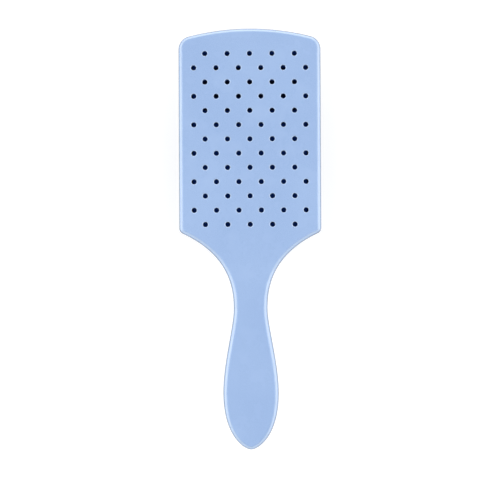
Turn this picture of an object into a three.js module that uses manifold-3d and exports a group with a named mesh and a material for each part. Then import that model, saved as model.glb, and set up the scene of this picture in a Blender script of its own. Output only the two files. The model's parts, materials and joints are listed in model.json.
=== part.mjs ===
// A vented paddle hairbrush, lying on its pin tips with its flat back up.
// Millimetres. +X is to the right of the head, +Y runs from the handle to the head, +Z is up.
// The origin is on the ground, under the middle of the brush's length and width.
import * as THREE from "three";
import { mergeVertices } from "three/addons/utils/BufferGeometryUtils.js";
import Module from "manifold-3d";

const wasm = await Module();
wasm.setup();

// ---- Driving dimensions -------------------------------------------------------------------

// Plan view. The corner level is the line where the head's straight sides end.
const HEAD_LENGTH = 118.5; // from the corner level to the top
const HEAD_WIDTH = 84.4;
const HANDLE_LENGTH = 131.5; // from the corner level to the tip
const TOP_ARC_RADIUS = 146;
const TOP_CORNER_RADIUS = 8;
const LOWER_CORNER_RADIUS = 3.5;
const SHOULDER_SLOPE = 25; // degrees below level, where the shoulder leaves the corner
const SHOULDER_REACH = 0.97; // how far the shoulder keeps that slope, towards the neck
const NECK_WIDTH = 20.1;
const NECK_FROM_TIP = 83.3;
const NECK_EASE_UP = 10.2; // how far the neck stays straight, towards the shoulder
const NECK_EASE_DOWN = 10.1; // and towards the grip
const GRIP_WIDTH = 33;
const GRIP_FROM_TIP = 33.5;
const GRIP_EASE_UP = 18;
const GRIP_EASE_DOWN = 24.9;
const TIP_EASE = 4.6;
const TIP_NOSE = 2; // how much fuller than a plain curve the front of the tip is

// Depths, from the flat back towards the ground.
const HEAD_DEPTH = 13;
const NECK_DEPTH = 12;
const GRIP_DEPTH = 16;
const SEAM_DEPTH = 6; // where the two shells meet
const BACK_EDGE = 2.6; // rounding of the back's rim
const FRONT_EDGE = 3; // rounding of the front shell's rim
const BACK_WALL = 2.4;
const SIDE_WALL = 2;
const HANDLE_WALL = 2.4;
const LIP = 1.5; // thickness of the front shell's rim round the cushion

// Vents through the back.
const VENT_DIAMETER = 2.8;
const VENT_ROWS = 13;
const VENTS_IN_LONG_ROW = 6; // the rows between have one less
const VENT_SIDE_MARGIN = 9;
const VENT_TOP_MARGIN = 14.95;
const VENT_CORNER_MARGIN = 2.2; // from the corner level to the lowest row

// Cushion: a domed rubber sheet with a flange, in a window of the front shell.
const RIM_WIDTH = 5.2; // from the head's side to the window
const WINDOW_ABOVE_CORNER = 1.5;
const WINDOW_CORNER = 7;
const CUSHION_RISE = 5; // how far its plateau stands out of the front shell
const CUSHION_SHEET = 2;
const CUSHION_SHOULDER = 3.4; // width of the rounded slope round the plateau
const FLANGE = 1.5;
const RETAINER = 2; // thickness of the frame that clamps the flange
const RETAINER_RIM = 0.6; // how far the frame stays outside the window's edge
const POST_RADIUS = 1.4;
const POSTS_PER_SIDE = 4;

// Pins.
const PIN_LENGTH = 18; // out of the cushion
const PIN_RADIUS = 0.6;
const BALL_RADIUS = 1.1;
const PIN_ROWS = 13;
const PINS_IN_LONG_ROW = 11; // the rows between have one less
const PIN_FIELD_MARGIN = 1.2; // from the outermost pins to the edge of the cushion's flat
const RUNNER_WIDTH = 1.8;
const RUNNER_THICKNESS = 1.2;
const CLEARANCE = 0.3;

// How finely round things are cut.
const EDGE_STEPS = 2;
const VENT_SIDES = 8;
const PIN_SIDES = 6;
const CORNER_STEPS = 5;
const SMALL_CORNER_STEPS = 3;
const PLAN_STEPS = { tip: 9, grip: 7, neck: 10 };
const SIDE_STEPS = { tip: 6, grip: 5, neck: 4 };

const OVERSHOOT = 1; // how far a cutter goes past the face it cuts
const SAME_CORNER = 1e-4; // corners closer than this are one
const SAME_POINT = 1e-6; // and so are points of an outline

// ---- Levels and lines worked out from them ------------------------------------------------

const HALF_LENGTH = (HEAD_LENGTH + HANDLE_LENGTH) / 2;
const TIP_Y = -HALF_LENGTH;
const TOP_Y = HALF_LENGTH;
const CORNER_Y = TIP_Y + HANDLE_LENGTH;
const NECK_Y = TIP_Y + NECK_FROM_TIP;
const GRIP_Y = TIP_Y + GRIP_FROM_TIP;
const HALF_HEAD = HEAD_WIDTH / 2;
const HALF_NECK = NECK_WIDTH / 2;
const HALF_GRIP = GRIP_WIDTH / 2;

const PLATEAU_Z = PIN_LENGTH;
const FRONT_Z = PLATEAU_Z + CUSHION_RISE;
const BACK_Z = FRONT_Z + HEAD_DEPTH;
const SEAM_Z = BACK_Z - SEAM_DEPTH;
const FLANGE_Z = FRONT_Z + LIP;
const RETAINER_Z = FLANGE_Z + FLANGE;
const RETAINER_TOP_Z = RETAINER_Z + RETAINER;
const GRIP_FRONT_Z = BACK_Z - GRIP_DEPTH;
const NECK_FRONT_Z = BACK_Z - NECK_DEPTH;
const CEILING_Z = BACK_Z - BACK_WALL; // inner face of the back

const WINDOW_BOTTOM = CORNER_Y + WINDOW_ABOVE_CORNER;
const WINDOW_TOP = TOP_Y - RIM_WIDTH;
const HALF_WINDOW = HALF_HEAD - RIM_WIDTH;
const FLANGE_REACH = RIM_WIDTH - SIDE_WALL - CLEARANCE;
const FLAT_INSET = CLEARANCE + CUSHION_SHEET + CUSHION_SHOULDER; // window to the flat inside
const HALF_PIN_FIELD = HALF_WINDOW - FLAT_INSET - PIN_FIELD_MARGIN;
const FAR = 2 * (HEAD_WIDTH + HEAD_LENGTH + HANDLE_LENGTH); // wider than the whole brush

// ---- Solids -------------------------------------------------------------------------------

// A closed geometry as a solid that can be cut and joined.
function solid(geometry) {
  const bare = geometry.clone();
  bare.deleteAttribute("normal");
  bare.deleteAttribute("uv");
  const merged = mergeVertices(bare, SAME_CORNER);
  const triangles = merged.index.array;
  return new wasm.Manifold(
    new wasm.Mesh({
      numProp: 3,
      vertProperties: new Float32Array(merged.attributes.position.array),
      triVerts: new Uint32Array(triangles),
    }),
  );
}

// A solid back as a named mesh.
function mesh(name, shape, material) {
  const { vertProperties, triVerts } = shape.getMesh();
  const geometry = new THREE.BufferGeometry();
  geometry.setAttribute("position", new THREE.BufferAttribute(vertProperties, 3));
  geometry.setIndex(new THREE.BufferAttribute(triVerts, 1));
  geometry.computeVertexNormals();
  const made = new THREE.Mesh(geometry, material);
  made.name = name;
  return made;
}

// A plan outline pulled up from z = low to z = high, grown sideways by grow.
// edge rounds both its rims: { width, height, steps }.
function pulled(outline, low, high, grow = 0, edge = { width: 0, height: 0, steps: 0 }) {
  const geometry = new THREE.ExtrudeGeometry(outline, {
    depth: high - low - 2 * edge.height,
    bevelEnabled: true,
    bevelThickness: edge.height,
    bevelSize: edge.width,
    bevelOffset: grow - edge.width,
    bevelSegments: edge.steps,
  });
  geometry.translate(0, 0, low + edge.height);
  return solid(geometry);
}

// Everything between two levels.
function layer(low, high) {
  const box = new THREE.BoxGeometry(FAR, FAR, high - low);
  box.translate(0, 0, (low + high) / 2);
  return solid(box);
}

// Everything on the handle's side of a line across the brush.
function before(y) {
  const box = new THREE.BoxGeometry(FAR, FAR, FAR);
  box.translate(0, y - FAR / 2, 0);
  return solid(box);
}

// An upright many-sided column.
function column(x, y, low, high, radius, sides) {
  const shape = new THREE.CylinderGeometry(radius, radius, high - low, sides);
  shape.rotateX(Math.PI / 2);
  shape.translate(x, y, (low + high) / 2);
  return solid(shape);
}

// A side view, drawn in Y and Z, as a solid as wide as the brush and more.
function sideCut(outline) {
  const geometry = new THREE.ExtrudeGeometry(outline, { depth: FAR, bevelEnabled: false });
  geometry.translate(0, 0, -FAR / 2);
  const toYZ = new THREE.Matrix4().makeBasis(
    new THREE.Vector3(0, 1, 0),
    new THREE.Vector3(0, 0, 1),
    new THREE.Vector3(1, 0, 0),
  );
  geometry.applyMatrix4(toYZ);
  return solid(geometry);
}

const joined = (solids) => solids.reduce((whole, next) => whole.add(next));

// ---- Outlines -----------------------------------------------------------------------------

const arc = (x, y, radius, from, to) => new THREE.EllipseCurve(x, y, radius, radius, from, to, false, 0);
const point = (x, y) => new THREE.Vector2(x, y);

// The points along a chain of [curve, steps], the shared ends once.
function along(chain) {
  const points = chain.flatMap(([curve, steps]) => curve.getPoints(steps));
  return points.filter((p, i) => i === 0 || p.distanceTo(points[i - 1]) > SAME_POINT);
}

// A closed outline from its right half, which starts at the bottom.
function mirrored(right) {
  const left = right.map((p) => point(-p.x, p.y)).reverse();
  return new THREE.Shape([...right, ...left.filter((p) => Math.abs(p.x) > SAME_POINT)]);
}

// The right half of a top: a corner arc that runs into a wide arc through (0, top).
function topCurves(halfWidth, top, wideRadius, cornerRadius) {
  const centreY = top - wideRadius;
  const cornerX = halfWidth - cornerRadius;
  const rise = Math.sqrt((wideRadius - cornerRadius) ** 2 - cornerX ** 2);
  const turn = Math.atan2(rise, cornerX);
  return [
    [arc(cornerX, centreY + rise, cornerRadius, 0, turn), CORNER_STEPS],
    [arc(0, centreY, wideRadius, turn, Math.PI / 2), CORNER_STEPS],
  ];
}

// The whole brush from above.
function brushOutline() {
  const slope = THREE.MathUtils.degToRad(SHOULDER_SLOPE);
  const cornerX = HALF_HEAD - LOWER_CORNER_RADIUS;
  const shoulder = point(
    cornerX + LOWER_CORNER_RADIUS * Math.sin(slope),
    CORNER_Y - LOWER_CORNER_RADIUS * Math.cos(slope),
  );
  const reach = SHOULDER_REACH * (shoulder.x - HALF_NECK);
  const tip = new THREE.CubicBezierCurve(
    point(0, TIP_Y),
    point(TIP_EASE, TIP_Y),
    point(HALF_GRIP, GRIP_Y - GRIP_EASE_DOWN),
    point(HALF_GRIP, GRIP_Y),
  );
  const grip = new THREE.CubicBezierCurve(
    point(HALF_GRIP, GRIP_Y),
    point(HALF_GRIP, GRIP_Y + GRIP_EASE_UP),
    point(HALF_NECK, NECK_Y - NECK_EASE_DOWN),
    point(HALF_NECK, NECK_Y),
  );
  const neck = new THREE.CubicBezierCurve(
    point(HALF_NECK, NECK_Y),
    point(HALF_NECK, NECK_Y + NECK_EASE_UP),
    point(shoulder.x - reach, shoulder.y - reach * Math.tan(slope)),
    shoulder,
  );
  return mirrored(
    along([
      [tip, PLAN_STEPS.tip],
      [grip, PLAN_STEPS.grip],
      [neck, PLAN_STEPS.neck],
      [arc(cornerX, CORNER_Y, LOWER_CORNER_RADIUS, slope - Math.PI / 2, 0), SMALL_CORNER_STEPS],
      ...topCurves(HALF_HEAD, TOP_Y, TOP_ARC_RADIUS, TOP_CORNER_RADIUS),
    ]),
  );
}

// The cushion's window in the front shell.
function windowOutline() {
  const cornerX = HALF_WINDOW - WINDOW_CORNER;
  return mirrored(
    along([
      [arc(cornerX, WINDOW_BOTTOM + WINDOW_CORNER, WINDOW_CORNER, -Math.PI / 2, 0), CORNER_STEPS],
      ...topCurves(HALF_WINDOW, WINDOW_TOP, TOP_ARC_RADIUS - RIM_WIDTH, WINDOW_CORNER),
    ]),
  );
}

// The front of the brush from the side: all that lies above this line is brush, raised by lift.
function frontSide(lift) {
  const chain = [
    [
      new THREE.CubicBezierCurve(
        point(TIP_Y + lift, SEAM_Z),
        point(TIP_Y + lift, GRIP_FRONT_Z + lift + TIP_NOSE),
        point(GRIP_Y - GRIP_EASE_DOWN, GRIP_FRONT_Z + lift),
        point(GRIP_Y, GRIP_FRONT_Z + lift),
      ),
      SIDE_STEPS.tip,
    ],
    [
      new THREE.CubicBezierCurve(
        point(GRIP_Y, GRIP_FRONT_Z + lift),
        point(GRIP_Y + GRIP_EASE_UP, GRIP_FRONT_Z + lift),
        point(NECK_Y - GRIP_EASE_UP, NECK_FRONT_Z + lift),
        point(NECK_Y, NECK_FRONT_Z + lift),
      ),
      SIDE_STEPS.grip,
    ],
    [
      new THREE.CubicBezierCurve(
        point(NECK_Y, NECK_FRONT_Z + lift),
        point(NECK_Y + GRIP_EASE_UP, NECK_FRONT_Z + lift),
        point(CORNER_Y - GRIP_EASE_UP, FRONT_Z + lift),
        point(CORNER_Y, FRONT_Z + lift),
      ),
      SIDE_STEPS.neck,
    ],
  ];
  const line = along(chain);
  return new THREE.Shape([
    ...line,
    point(TOP_Y + FAR, FRONT_Z + lift),
    point(TOP_Y + FAR, BACK_Z),
    point(TIP_Y + lift, BACK_Z),
  ]);
}

const BRUSH = brushOutline();
const WINDOW = windowOutline();

// ---- Patterns -----------------------------------------------------------------------------

// Places in staggered rows: odd rows hold the long count, even rows one less, half a pitch in.
function staggeredRow(row, longCount, halfWidth) {
  const pitch = (2 * halfWidth) / (longCount - 1);
  const count = row % 2 === 1 ? longCount : longCount - 1;
  return Array.from({ length: count }, (_, i) => (i - (count - 1) / 2) * pitch);
}

const evenly = (row, rows, from, to) => from + (row * (to - from)) / (rows - 1);

function ventPlaces() {
  const places = [];
  for (let row = 0; row < VENT_ROWS; row += 1) {
    const y = evenly(row, VENT_ROWS, CORNER_Y + VENT_CORNER_MARGIN, TOP_Y - VENT_TOP_MARGIN);
    const across = staggeredRow(row, VENTS_IN_LONG_ROW, HALF_HEAD - VENT_SIDE_MARGIN);
    across.forEach((x) => places.push([x, y]));
  }
  return places;
}

const pinRowX = (row) => staggeredRow(row, PINS_IN_LONG_ROW, HALF_PIN_FIELD);

// The rows stop where the outermost pins of the last one meet the arched top of the flat.
function pinRowY(row) {
  const flatArc = TOP_ARC_RADIUS - RIM_WIDTH - FLAT_INSET;
  const drop = flatArc - Math.sqrt(flatArc ** 2 - pinRowX(0)[0] ** 2);
  const low = WINDOW_BOTTOM + FLAT_INSET + PIN_FIELD_MARGIN;
  const high = WINDOW_TOP - FLAT_INSET - PIN_FIELD_MARGIN - drop;
  return evenly(row, PIN_ROWS, low, high);
}

// Where the back shell's posts press on the retainer: along both sides, top and bottom.
function postPlaces() {
  const off = FLANGE_REACH - POST_RADIUS;
  const places = [];
  for (let i = 0; i < POSTS_PER_SIDE; i += 1) {
    const y = evenly(i, POSTS_PER_SIDE, WINDOW_BOTTOM + 2 * WINDOW_CORNER, WINDOW_TOP - 2 * WINDOW_CORNER);
    places.push([HALF_WINDOW + off, y], [-HALF_WINDOW - off, y]);
  }
  places.push([0, WINDOW_TOP + off]);
  const x = HALF_WINDOW / 2;
  places.push([x, WINDOW_BOTTOM - off], [-x, WINDOW_BOTTOM - off]);
  return places;
}

// ---- Sub-parts ----------------------------------------------------------------------------

// The back half of head and handle: a shallow tray with the vents and the clamping posts.
function backShell() {
  const rim = { width: BACK_EDGE, height: BACK_EDGE, steps: EDGE_STEPS };
  const whole = pulled(BRUSH, SEAM_Z - 2 * BACK_EDGE, BACK_Z, 0, rim);
  const outside = whole.intersect(layer(SEAM_Z, BACK_Z + OVERSHOOT));
  const hollow = pulled(BRUSH, SEAM_Z - OVERSHOOT, CEILING_Z, -SIDE_WALL);
  const vents = ventPlaces().map(([x, y]) =>
    column(x, y, CEILING_Z - OVERSHOOT, BACK_Z + OVERSHOOT, VENT_DIAMETER / 2, VENT_SIDES),
  );
  const posts = postPlaces().map(([x, y]) =>
    column(x, y, RETAINER_TOP_Z, CEILING_Z + BACK_WALL / 2, POST_RADIUS, VENT_SIDES),
  );
  const tray = outside.subtract(hollow).add(joined(posts));
  return tray.subtract(joined(vents));
}

// The front half: the rim round the cushion, and the hollow front of the handle.
function frontShell() {
  const rim = { width: FRONT_EDGE, height: FRONT_EDGE, steps: EDGE_STEPS + 1 };
  const shallow = pulled(BRUSH, FRONT_Z, SEAM_Z + 2 * FRONT_EDGE, 0, rim);
  const deep = pulled(BRUSH, GRIP_FRONT_Z, SEAM_Z + 2 * FRONT_EDGE, 0, rim);
  const outside = shallow
    .add(deep.intersect(before(NECK_Y)))
    .intersect(sideCut(frontSide(0)))
    .intersect(layer(0, SEAM_Z));
  const headHollow = pulled(WINDOW, FLANGE_Z, SEAM_Z + OVERSHOOT, FLANGE_REACH + CLEARANCE);
  const opening = pulled(WINDOW, FRONT_Z - OVERSHOOT, SEAM_Z + OVERSHOOT);
  const belowHead = before(WINDOW_BOTTOM - FLANGE_REACH - CLEARANCE - SIDE_WALL);
  const handleHollow = pulled(BRUSH, GRIP_FRONT_Z, SEAM_Z + OVERSHOOT, -HANDLE_WALL)
    .intersect(sideCut(frontSide(HANDLE_WALL)))
    .intersect(belowHead)
    .add(pulled(BRUSH, SEAM_Z - OVERSHOOT, SEAM_Z + OVERSHOOT, -HANDLE_WALL).intersect(belowHead));
  return outside.subtract(headHollow).subtract(opening).subtract(handleHollow);
}

// The frame that clamps the cushion's flange against the front shell's lip.
function cushionRetainer() {
  const outside = pulled(WINDOW, RETAINER_Z, RETAINER_TOP_Z, FLANGE_REACH);
  return outside.subtract(pulled(WINDOW, RETAINER_Z - OVERSHOOT, RETAINER_TOP_Z + OVERSHOOT, RETAINER_RIM));
}

// The domed rubber sheet that carries the pins, with its flange and pin holes.
function cushion() {
  const sheetTop = PLATEAU_Z + CUSHION_SHEET;
  const slope = { width: CUSHION_SHOULDER, height: FRONT_Z - PLATEAU_Z, steps: EDGE_STEPS + 1 };
  const dome = pulled(WINDOW, PLATEAU_Z, FLANGE_Z + 2 * slope.height, -CLEARANCE, slope);
  const bowl = pulled(
    WINDOW,
    sheetTop,
    FLANGE_Z + 3 * slope.height,
    -CLEARANCE - CUSHION_SHEET,
    slope,
  );
  const flange = pulled(WINDOW, FLANGE_Z, RETAINER_Z, FLANGE_REACH);
  const sheet = dome.intersect(layer(PLATEAU_Z, RETAINER_Z)).add(flange).subtract(bowl);
  const holes = [];
  const holeRadius = PIN_RADIUS + CLEARANCE;
  for (let row = 0; row < PIN_ROWS; row += 1) {
    for (const x of pinRowX(row)) {
      const y = pinRowY(row);
      holes.push(column(x, y, PLATEAU_Z - OVERSHOOT, sheetTop + OVERSHOOT, holeRadius, PIN_SIDES));
    }
  }
  return sheet.subtract(joined(holes));
}

// One row of ball-tipped pins, joined by the runner behind the cushion.
function pinRow(row) {
  const y = pinRowY(row);
  const across = pinRowX(row);
  const runnerLow = PLATEAU_Z + CUSHION_SHEET + CLEARANCE;
  const length = across[across.length - 1] - across[0] + RUNNER_WIDTH;
  const runner = new THREE.BoxGeometry(length, RUNNER_WIDTH, RUNNER_THICKNESS);
  runner.translate(0, y, runnerLow + RUNNER_THICKNESS / 2);
  const profile = [
    point(0, 0),
    point(BALL_RADIUS, BALL_RADIUS),
    point(PIN_RADIUS, 2 * BALL_RADIUS),
    point(PIN_RADIUS, runnerLow + RUNNER_THICKNESS / 2),
    point(0, runnerLow + RUNNER_THICKNESS / 2),
  ];
  const pin = new THREE.LatheGeometry(profile, PIN_SIDES);
  pin.rotateX(Math.PI / 2);
  const pins = across.map((x) => solid(pin.clone().translate(x, y, 0)));
  return solid(runner).add(joined(pins));
}

// ---- Assembly -----------------------------------------------------------------------------

const shellPlastic = new THREE.MeshStandardMaterial({ color: 0xa8c6f0, roughness: 0.28, metalness: 0 });
const frontPlastic = shellPlastic.clone();
const retainerPlastic = new THREE.MeshStandardMaterial({ color: 0x1c2334, roughness: 0.6, metalness: 0 });
const cushionRubber = new THREE.MeshStandardMaterial({ color: 0x16213c, roughness: 0.75, metalness: 0 });

const group = new THREE.Group();
group.add(mesh("back_shell", backShell(), shellPlastic));
group.add(mesh("front_shell", frontShell(), frontPlastic));
group.add(mesh("cushion_retainer", cushionRetainer(), retainerPlastic));
group.add(mesh("cushion", cushion(), cushionRubber));
for (let row = 0; row < PIN_ROWS; row += 1) {
  const pinNylon = new THREE.MeshStandardMaterial({ color: 0x24304d, roughness: 0.4, metalness: 0 });
  const name = `pin_row_${String(row + 1).padStart(2, "0")}`;
  group.add(mesh(name, pinRow(row), pinNylon));
}

export default group;
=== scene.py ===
"""The looks of a vented paddle hairbrush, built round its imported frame.

Metres, in the frame's axes. The brush lies on its pin tips with its flat back up: +X is to the right
of the head, +Y runs from the handle to the head, and +Z is up.
"""

import json
import logging
import math
from collections.abc import Callable, Sequence
from dataclasses import dataclass
from enum import Enum

import bmesh
import bpy
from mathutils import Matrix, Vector


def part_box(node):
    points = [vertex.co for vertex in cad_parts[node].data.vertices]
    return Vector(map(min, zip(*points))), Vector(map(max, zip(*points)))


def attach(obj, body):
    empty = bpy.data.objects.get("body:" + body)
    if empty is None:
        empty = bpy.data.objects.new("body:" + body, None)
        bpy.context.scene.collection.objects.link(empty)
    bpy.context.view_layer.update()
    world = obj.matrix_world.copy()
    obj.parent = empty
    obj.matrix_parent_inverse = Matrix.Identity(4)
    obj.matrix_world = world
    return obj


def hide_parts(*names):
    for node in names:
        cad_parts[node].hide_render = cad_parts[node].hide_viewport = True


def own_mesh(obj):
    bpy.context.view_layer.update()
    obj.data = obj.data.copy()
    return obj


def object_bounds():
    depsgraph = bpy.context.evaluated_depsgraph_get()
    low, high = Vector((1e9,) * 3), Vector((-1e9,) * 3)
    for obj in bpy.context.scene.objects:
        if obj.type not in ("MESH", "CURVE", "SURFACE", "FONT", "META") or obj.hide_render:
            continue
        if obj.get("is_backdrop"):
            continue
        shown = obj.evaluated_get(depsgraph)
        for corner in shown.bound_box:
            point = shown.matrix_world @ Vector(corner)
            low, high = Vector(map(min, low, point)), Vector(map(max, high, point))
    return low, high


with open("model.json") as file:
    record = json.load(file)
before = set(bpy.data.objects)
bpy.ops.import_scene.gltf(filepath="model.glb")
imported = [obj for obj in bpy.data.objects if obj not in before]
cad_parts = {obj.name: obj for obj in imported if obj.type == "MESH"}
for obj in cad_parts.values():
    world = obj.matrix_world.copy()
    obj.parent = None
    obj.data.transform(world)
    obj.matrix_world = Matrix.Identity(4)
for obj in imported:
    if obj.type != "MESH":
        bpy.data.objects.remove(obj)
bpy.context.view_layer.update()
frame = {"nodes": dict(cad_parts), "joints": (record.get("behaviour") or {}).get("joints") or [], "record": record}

MM = 0.001
TOUCH = 0.01 * MM  # two levels nearer than this are the same level
LOG = logging.getLogger("paddle_brush")

ACROSS = Vector((1.0, 0.0, 0.0))
ALONG = Vector((0.0, 1.0, 0.0))

Point = tuple[float, float]
Colour = tuple[float, float, float, float]
Span = tuple[float, float]
Setting = bpy.types.Object | str | bool | int | float | tuple[float, float, float]


# ---- The bench: pieces shaped as by hand ---------------------------------------------------


class Turn(Enum):
    """Which way a rounded edge turns as it goes in."""

    OVER = "steep first, then flat"
    INTO = "flat first, then steep"


class Carving(Enum):
    """What carving does with its tool."""

    CUT = "DIFFERENCE"
    ADD = "UNION"


class Hardness(Enum):
    """The steepest angle, in degrees, that is still shaded as one round surface."""

    SOFT = 50.0
    CRISP = 32.0


def let_go() -> None:
    """Deselects every object, so that the next operator acts on nothing by mistake."""
    for thing in list(bpy.context.selected_objects):
        thing.select_set(False)
    bpy.context.view_layer.objects.active = None


def pick_up(piece: bpy.types.Object) -> bpy.types.Object:
    """Makes a piece the only selected one, and the active one.

    Args:
        piece: The piece to work on.

    Returns:
        The same piece.
    """
    let_go()
    piece.select_set(True)
    bpy.context.view_layer.objects.active = piece
    return piece


def round_outline(x: float, y: float, radius: float, sides: int) -> list[Point]:
    """Gives a circle's points.

    Args:
        x: The centre's place across the brush.
        y: The centre's place along the brush.
        radius: The circle's radius.
        sides: How many points it has.

    Returns:
        The points, counter-clockwise.
    """
    angles = [2 * math.pi * side / sides for side in range(sides)]
    return [(x + radius * math.cos(a), y + radius * math.sin(a)) for a in angles]


class Workpiece:
    """A piece in edit mode, from its first flat plate to the finished mesh."""

    def __init__(self, name: str, outline: Sequence[Point], level: float) -> None:
        """Lays a flat plate with its edge drawn out onto an outline.

        Args:
            name: The piece's name.
            outline: The plate's edge, counter-clockwise.
            level: The plate's height.
        """
        let_go()
        bpy.ops.mesh.primitive_circle_add(vertices=len(outline), radius=1.0, fill_type="NGON")
        self.piece = bpy.context.object
        self.piece.name = name
        self.piece.data.name = name
        for vertex, (x, y) in zip(self.piece.data.vertices, outline):
            vertex.co = (x, y, level)
        bpy.ops.object.mode_set(mode="EDIT")
        bpy.ops.mesh.select_all(action="SELECT")

    def pull(self, rise: float) -> None:
        """Extrudes what is selected straight up, or down where the rise is negative."""
        bpy.ops.mesh.extrude_region_move(TRANSFORM_OT_translate={"value": (0.0, 0.0, rise)})

    def narrow(self, width: float, rise: float = 0.0) -> None:
        """Insets the selected face, and carries what is inside up or down.

        Args:
            width: How wide the margin is.
            rise: How far the inside goes up, or down where it is negative.
        """
        bpy.ops.mesh.inset(thickness=width, depth=0.0)
        if rise:
            bpy.ops.transform.translate(value=(0.0, 0.0, rise))

    def trim(self, width: float) -> None:
        """Cuts a margin off the plate that was just laid.

        Args:
            width: How wide the margin is.
        """
        bpy.context.tool_settings.mesh_select_mode = (False, False, True)
        bpy.ops.mesh.inset(thickness=width, depth=0.0)
        bpy.ops.mesh.select_all(action="INVERT")
        bpy.ops.mesh.delete(type="FACE")
        bpy.ops.mesh.select_all(action="SELECT")

    def resize(self, share: float, about: Vector) -> None:
        """Widens or narrows what is selected about a point, level."""
        bpy.ops.transform.resize(value=(share, share, 1.0), center_override=about)

    def round_in(self, turn: Turn, width: float, rise: float, steps: int) -> None:
        """Rounds the selected face inwards over a quarter of an ellipse.

        Args:
            turn: Whether the rounding starts steep or flat.
            width: How far in it ends.
            rise: How far up it ends, or down where it is negative.
            steps: How many rings make the rounding.
        """
        quarter = [0.5 * math.pi * step / steps for step in range(steps + 1)]
        fast = [math.sin(a) for a in quarter]
        slow = [1.0 - math.cos(a) for a in quarter]
        inwards, upwards = (slow, fast) if turn is Turn.OVER else (fast, slow)
        for step in range(steps):
            self.narrow(
                width * (inwards[step + 1] - inwards[step]),
                rise * (upwards[step + 1] - upwards[step]),
            )

    def pick_faces(self, wanted: Callable[[Vector, Vector], bool]) -> None:
        """Selects faces.

        Args:
            wanted: Says from a face's centre and normal whether it is selected.
        """
        bpy.context.tool_settings.mesh_select_mode = (False, False, True)
        bpy.ops.mesh.select_all(action="DESELECT")
        mesh = bmesh.from_edit_mesh(self.piece.data)
        for face in mesh.faces:
            if wanted(face.calc_center_median(), face.normal):
                face.select_set(True)
        bmesh.update_edit_mesh(self.piece.data)

    def pick_edges(self, wanted: Callable[[Vector], bool]) -> None:
        """Selects edges.

        Args:
            wanted: Says from an end's place whether the edge may be selected. Both ends have to be.
        """
        bpy.context.tool_settings.mesh_select_mode = (False, True, False)
        bpy.ops.mesh.select_all(action="DESELECT")
        mesh = bmesh.from_edit_mesh(self.piece.data)
        for edge in mesh.edges:
            if all(wanted(end.co) for end in edge.verts):
                edge.select_set(True)
        bmesh.update_edit_mesh(self.piece.data)

    def pick_all(self) -> None:
        """Selects everything."""
        bpy.ops.mesh.select_all(action="SELECT")

    def pick_edges_at(self, level: float) -> None:
        """Selects the edges that lie at a level."""
        self.pick_edges(lambda end: abs(end.z - level) < TOUCH)

    def pick_faces_at(self, level: float) -> None:
        """Selects the faces whose middle lies at a level."""
        self.pick_faces(lambda centre, _: abs(centre.z - level) < TOUCH)

    def face_down(self) -> None:
        """Turns a sheet's faces so that they look down."""
        mesh = bmesh.from_edit_mesh(self.piece.data)
        mesh.normal_update()
        if sum(face.normal.z * face.calc_area() for face in mesh.faces) > 0:
            self.pick_all()
            bpy.ops.mesh.flip_normals()

    def put_down(self) -> bpy.types.Object:
        """Leaves edit mode with the mesh as it is.

        Returns:
            The piece, in object mode.
        """
        bpy.ops.object.mode_set(mode="OBJECT")
        return self.piece

    def round_off(self, radius: float, segments: int) -> None:
        """Bevels the selected edges to a radius."""
        bpy.ops.mesh.bevel(offset=radius, segments=segments, profile=0.5, clamp_overlap=False)

    def split(self, through: Vector, facing: Vector, cut_off: bool = False) -> None:
        """Cuts the selected faces along a plane.

        Args:
            through: A point on the plane.
            facing: The plane's normal.
            cut_off: Whether what lies behind the plane is taken away and the cut closed.
        """
        bpy.ops.mesh.bisect(
            plane_co=through, plane_no=facing, use_fill=cut_off, clear_inner=cut_off, threshold=TOUCH
        )

    def reshape(self, level_at: Callable[[Vector], float]) -> None:
        """Gives each point a new height.

        Args:
            level_at: A point's new height, from its place now.
        """
        mesh = bmesh.from_edit_mesh(self.piece.data)
        for vertex in mesh.verts:
            vertex.co.z = level_at(vertex.co.copy())
        bmesh.update_edit_mesh(self.piece.data)

    def done(self) -> bpy.types.Object:
        """Merges doubles, turns the faces outwards and leaves edit mode.

        Returns:
            The piece, in object mode.
        """
        bpy.context.tool_settings.mesh_select_mode = (True, False, False)
        bpy.ops.mesh.select_all(action="SELECT")
        bpy.ops.mesh.remove_doubles(threshold=0.1 * TOUCH)
        bpy.ops.mesh.normals_make_consistent(inside=False)
        return self.put_down()


def apply_modifier(piece: bpy.types.Object, kind: str, **settings: Setting) -> None:
    """Puts a modifier on a piece and applies it.

    Args:
        piece: The piece.
        kind: The modifier's type.
        settings: Its settings.
    """
    modifier = piece.modifiers.new(kind.lower(), kind)
    for setting, value in settings.items():
        setattr(modifier, setting, value)
    pick_up(piece)
    bpy.ops.object.modifier_apply(modifier=modifier.name)


def carve(piece: bpy.types.Object, tool: bpy.types.Object, carving: Carving = Carving.CUT) -> None:
    """Cuts a piece with a tool, or adds the tool to it, and puts the tool away.

    Args:
        piece: The piece.
        tool: The tool, which is used up.
        carving: Whether the tool cuts or is added.
    """
    apply_modifier(piece, "BOOLEAN", object=tool, operation=carving.value, solver="EXACT")
    bpy.data.objects.remove(tool)
    bpy.ops.object.mode_set(mode="EDIT")
    bpy.ops.mesh.select_all(action="SELECT")
    bpy.ops.mesh.remove_doubles(threshold=0.1 * TOUCH)
    bpy.ops.mesh.dissolve_degenerate(threshold=0.1 * TOUCH)
    bpy.ops.object.mode_set(mode="OBJECT")


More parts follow.
